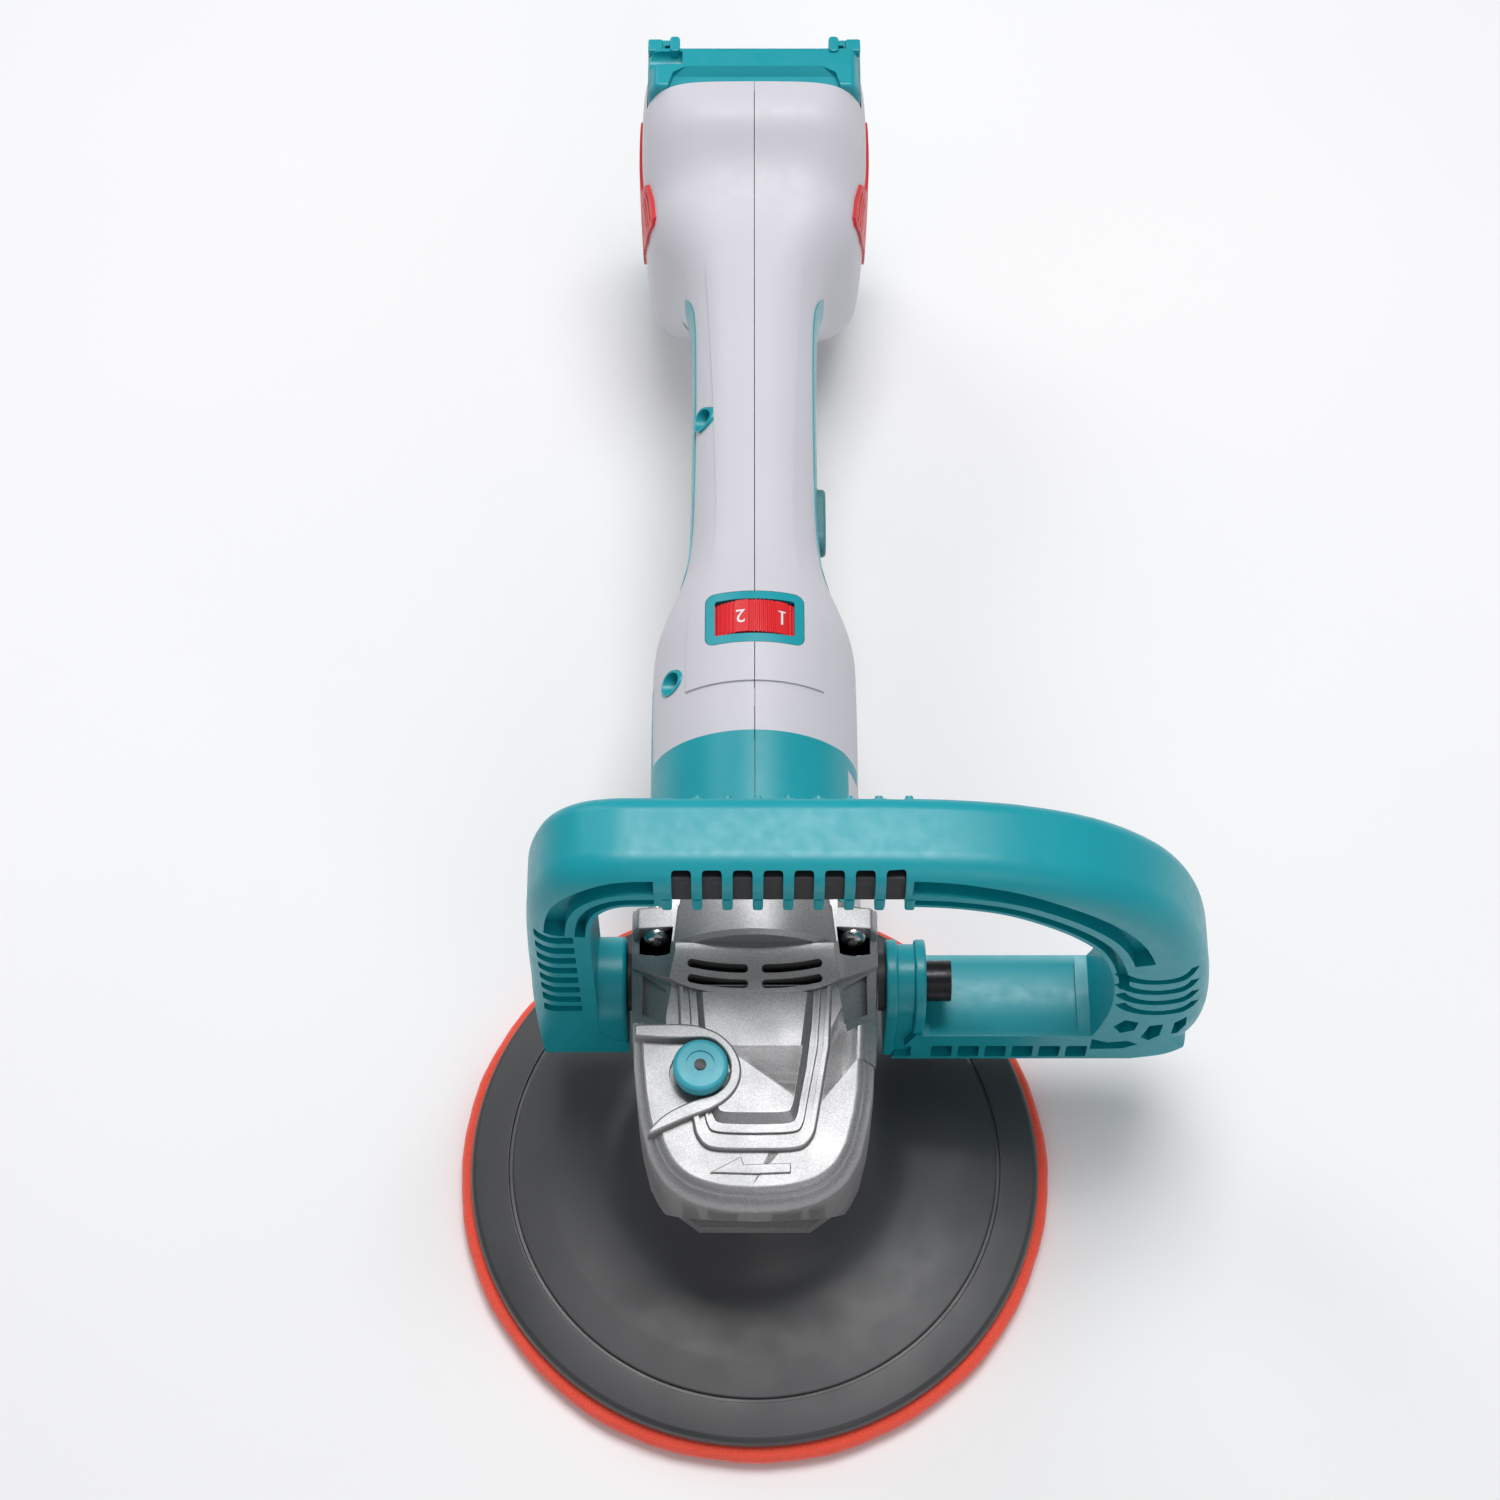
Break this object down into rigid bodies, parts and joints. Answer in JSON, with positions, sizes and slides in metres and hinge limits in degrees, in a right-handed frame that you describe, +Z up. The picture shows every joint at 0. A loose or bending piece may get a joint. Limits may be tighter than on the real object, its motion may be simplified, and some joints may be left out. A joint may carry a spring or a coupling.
{
  "type": "rotary polisher",
  "caption": "Cordless rotary polisher: round hook-faced pad, die-cast bevel gear head, D-shaped loop front handle, straight grip with paddle trigger and a battery end frame.",
  "frame": {"origin": "centre of the pad's working face, on the spindle axis", "axes": "+Z up along the spindle, +Y along the grip towards the battery end, +X to the side of the hand loop"},
  "size_m": [0.2299, 0.46, 0.176],
  "materials": {
    "hook_fabric": "looped",
    "orange_foam": "soft closed cell foam",
    "pad_black": "satin moulded polyurethane",
    "bright_steel": "turned",
    "ball_steel": "polished",
    "gear_steel": "ground",
    "black_steel": "black oxide",
    "spring_steel": "drawn",
    "die_cast": "metallic painted casting",
    "white_plastic": "fine satin texture",
    "teal_plastic": "satin",
    "teal_rubber": "matt overmould",
    "red_rubber": "matt overmould",
    "red_plastic": "satin",
    "black_plastic": "moulded",
    "grey_plastic": "moulded",
    "fan_plastic": "glass filled",
    "lamination": "stacked sheet",
    "copper": "enamelled wire",
    "brass_blade": "plated",
    "lead_insulation": "insulation"
  },
  "bodies": {
    "body": {"spindle_bearing_outer_rings": "bright_steel", "spindle_bearing_balls": "ball_steel", "motor_bearing_outer_rings": "bright_steel", "motor_bearing_balls": "ball_steel", "bearing_circlip": "black_steel", "gear_case": "die_cast", "bearing_cap": "die_cast", "bearing_cap_screws": "bright_steel", "gear_case_screws": "bright_steel", "spindle_lock_spring": "spring_steel", "fan_baffle": "black_plastic", "stator_core": "lamination", "stator_windings": "copper", "rear_bearing_sleeve": "pad_black", "housing_left": "white_plastic", "housing_right": "white_plastic", "grip_inlay_left": "teal_rubber", "grip_inlay_right": "teal_rubber", "band_left": "teal_plastic", "band_right": "teal_plastic", "screw_wells": "teal_plastic", "housing_screws": "black_steel", "side_bumper_left": "red_rubber", "side_bumper_right": "red_rubber", "dial_bezel": "teal_plastic", "speed_potentiometer": "black_plastic", "trigger_pin": "bright_steel", "switch_module": "black_plastic", "trigger_spring": "spring_steel", "controller_module": "black_plastic", "motor_leads": "lead_insulation", "battery_frame": "teal_plastic", "terminal_block": "black_plastic", "terminal_blades": "brass_blade", "handle_washers": "black_plastic", "handle_bolts": "black_steel"},
    "spindle": {"hook_face": "hook_fabric", "foam_layer": "orange_foam", "backing_plate": "pad_black", "hub_insert": "bright_steel", "output_spindle": "bright_steel", "spindle_bearing_inner_rings": "bright_steel", "crown_gear": "gear_steel", "crown_gear_spacer": "bright_steel"},
    "rotor": {"motor_shaft": "bright_steel", "drive_pinion": "gear_steel", "rotor_core": "lamination", "cooling_fan": "fan_plastic", "motor_bearing_inner_rings": "bright_steel"},
    "lock_button": {"spindle_lock_button": "teal_plastic", "spindle_lock_pin": "black_steel"},
    "dial": {"speed_dial": "red_plastic", "dial_spindle": "grey_plastic"},
    "trigger": {"trigger": "black_plastic"},
    "lock_on": {"lock_on_button": "grey_plastic"},
    "handle": {"loop_handle": "teal_plastic"}
  },
  "joints": [
    {"name": "spindle_spin", "type": "hinge", "parent": "body", "child": "spindle", "pos_m": [0, 0, 0], "axis": [0, 0, 1], "continuous": true},
    {"name": "rotor_spin", "type": "hinge", "parent": "body", "child": "rotor", "pos_m": [0, 0, 0.081], "axis": [0, 1, 0], "continuous": true},
    {"name": "spindle_lock_press", "type": "slide", "parent": "body", "child": "lock_button", "axis": [0, 0, -1], "range_m": [0, 0.005], "stiffness_N_per_m": 400, "springref_m": -0.002, "deforming": ["spindle_lock_spring"]},
    {"name": "dial_turn", "type": "hinge", "parent": "body", "child": "dial", "pos_m": [0, 0.1415, 0.0956], "axis": [0, 1, 0], "range_deg": [-27, 173.5]},
    {"name": "trigger_pull", "type": "hinge", "parent": "body", "child": "trigger", "pos_m": [0, 0.172, 0.065], "axis": [1, 0, 0], "range_deg": [0, 5], "stiffness_Nm_per_rad": 2, "springref_deg": -2.86, "deforming": ["trigger_spring"]},
    {"name": "lock_on_press", "type": "slide", "parent": "body", "child": "lock_on", "axis": [-1, 0, 0], "range_m": [0, 0.003], "stiffness_N_per_m": 600, "springref_m": -0.001},
    {"name": "handle_tilt", "type": "hinge", "parent": "body", "child": "handle", "pos_m": [0, 0.035, 0.076], "axis": [1, 0, 0], "range_deg": [-15, 15]}
  ],
  "couplings": [
    {"joint": "rotor_spin", "follows": "spindle_spin", "ratio": 3.7}
  ]
}
